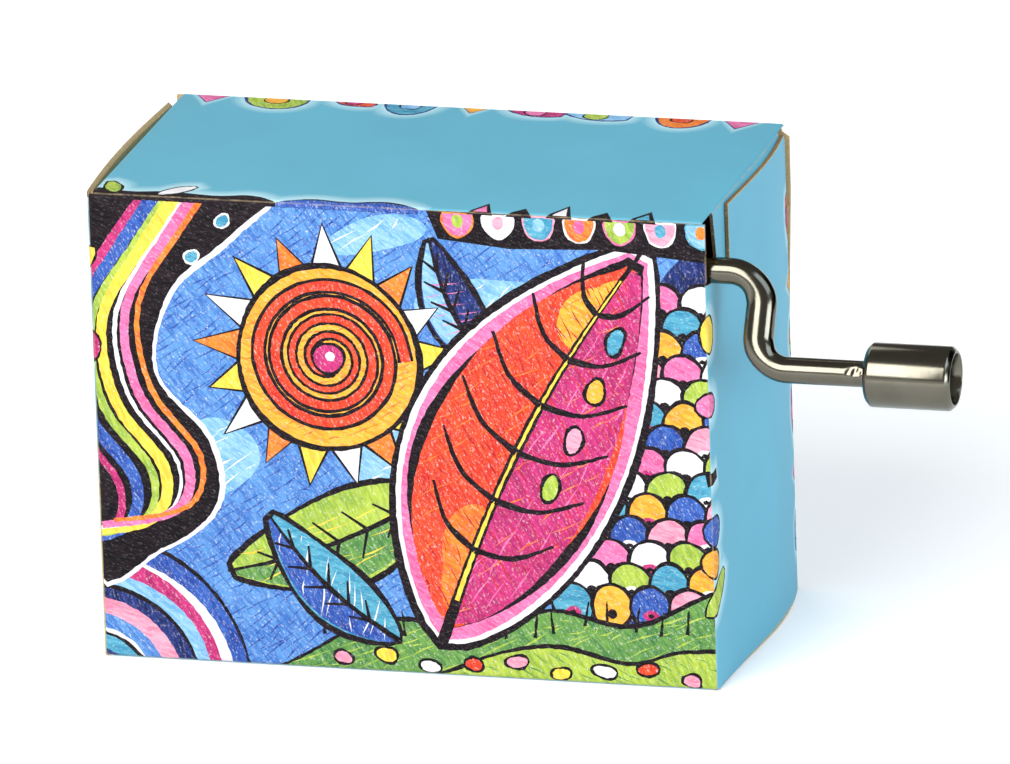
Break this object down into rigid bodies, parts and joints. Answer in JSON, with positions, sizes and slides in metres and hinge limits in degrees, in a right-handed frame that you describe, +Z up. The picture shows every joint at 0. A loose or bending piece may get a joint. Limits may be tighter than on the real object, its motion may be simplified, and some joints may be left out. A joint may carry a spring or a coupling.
{
  "type": "hand-cranked music box",
  "caption": "Small printed card box with a tuck-end panel, holding a hand-cranked pinned-cylinder comb movement; bent wire crank with a turned metal knob leaves one end.",
  "frame": {"origin": "centre of the carton's bottom face, on the table", "axes": "+X along the width towards the crank, +Y towards the back, +Z up"},
  "size_m": [0.0918, 0.0382, 0.05],
  "materials": {
    "printed_card": "coated print outside, raw tan card inside",
    "foam": "matt",
    "cast_zinc": "satin as cast",
    "comb_steel": "ground",
    "lead": "dull",
    "screw_steel": "satin",
    "nickel_steel": "nickel plated",
    "nickel_wire": "polished nickel plate",
    "nickel_knob": "turned and nickel plated",
    "white_nylon": "moulded",
    "brass": "satin",
    "arbor_steel": "ground"
  },
  "bodies": {
    "carton": {"carton_sleeve": "printed_card", "right_end_panel": "printed_card", "right_tuck_flap": "printed_card", "right_top_dust_flap": "printed_card", "right_bottom_dust_flap": "printed_card", "adhesive_pad": "foam", "bedplate": "cast_zinc", "comb": "comb_steel", "comb_weights": "lead", "comb_screws": "screw_steel", "outer_shaft_bracket": "nickel_steel", "inner_shaft_bracket": "nickel_steel", "bracket_screws": "screw_steel", "arbor_bushes": "brass"},
    "crank": {"crank_wire": "nickel_wire", "shaft_retaining_ring": "nickel_steel"},
    "knob": {"knob": "nickel_knob"},
    "cylinder": {"worm_wheel": "white_nylon", "pin_cylinder": "brass", "cylinder_front_cap": "brass", "cylinder_rear_cap": "brass", "cylinder_arbor": "arbor_steel"},
    "left_end": {"left_end_panel": "printed_card"},
    "left_tuck": {"left_tuck_flap": "printed_card"},
    "left_top_dust": {"left_top_dust_flap": "printed_card"},
    "left_bottom_dust": {"left_bottom_dust_flap": "printed_card"}
  },
  "joints": [
    {"name": "crank_spin", "type": "hinge", "parent": "carton", "child": "crank", "pos_m": [0.02, -0.0146, 0.0443], "axis": [1, 0, 0], "continuous": true},
    {"name": "knob_spin", "type": "hinge", "parent": "crank", "child": "knob", "pos_m": [0.0494, -0.01792, 0.03519], "axis": [1, 0, 0], "continuous": true},
    {"name": "cylinder_spin", "type": "hinge", "parent": "carton", "child": "cylinder", "pos_m": [0.02, 0, 0.03765], "axis": [0, 1, 0], "continuous": true},
    {"name": "left_end_hinge", "type": "hinge", "parent": "carton", "child": "left_end", "pos_m": [-0.0325, -0.017, 0.025], "axis": [0, 0, 1], "range_deg": [0, 110]},
    {"name": "left_tuck_fold", "type": "hinge", "parent": "left_end", "child": "left_tuck", "pos_m": [-0.03205, 0.0156, 0.025], "axis": [0, 0, 1], "range_deg": [-55, 0]},
    {"name": "left_top_dust_fold", "type": "hinge", "parent": "carton", "child": "left_top_dust", "pos_m": [-0.032, 0, 0.05], "axis": [0, 1, 0], "range_deg": [0, 30]},
    {"name": "left_bottom_dust_fold", "type": "hinge", "parent": "carton", "child": "left_bottom_dust", "pos_m": [-0.032, 0, 0], "axis": [0, 1, 0], "range_deg": [-30, 0]}
  ],
  "couplings": [
    {"joint": "cylinder_spin", "follows": "crank_spin", "ratio": -0.035714},
    {"joint": "left_tuck_fold", "follows": "left_end_hinge", "ratio": -0.5},
    {"joint": "left_top_dust_fold", "follows": "left_end_hinge", "ratio": 0.25},
    {"joint": "left_bottom_dust_fold", "follows": "left_end_hinge", "ratio": -0.25}
  ]
}
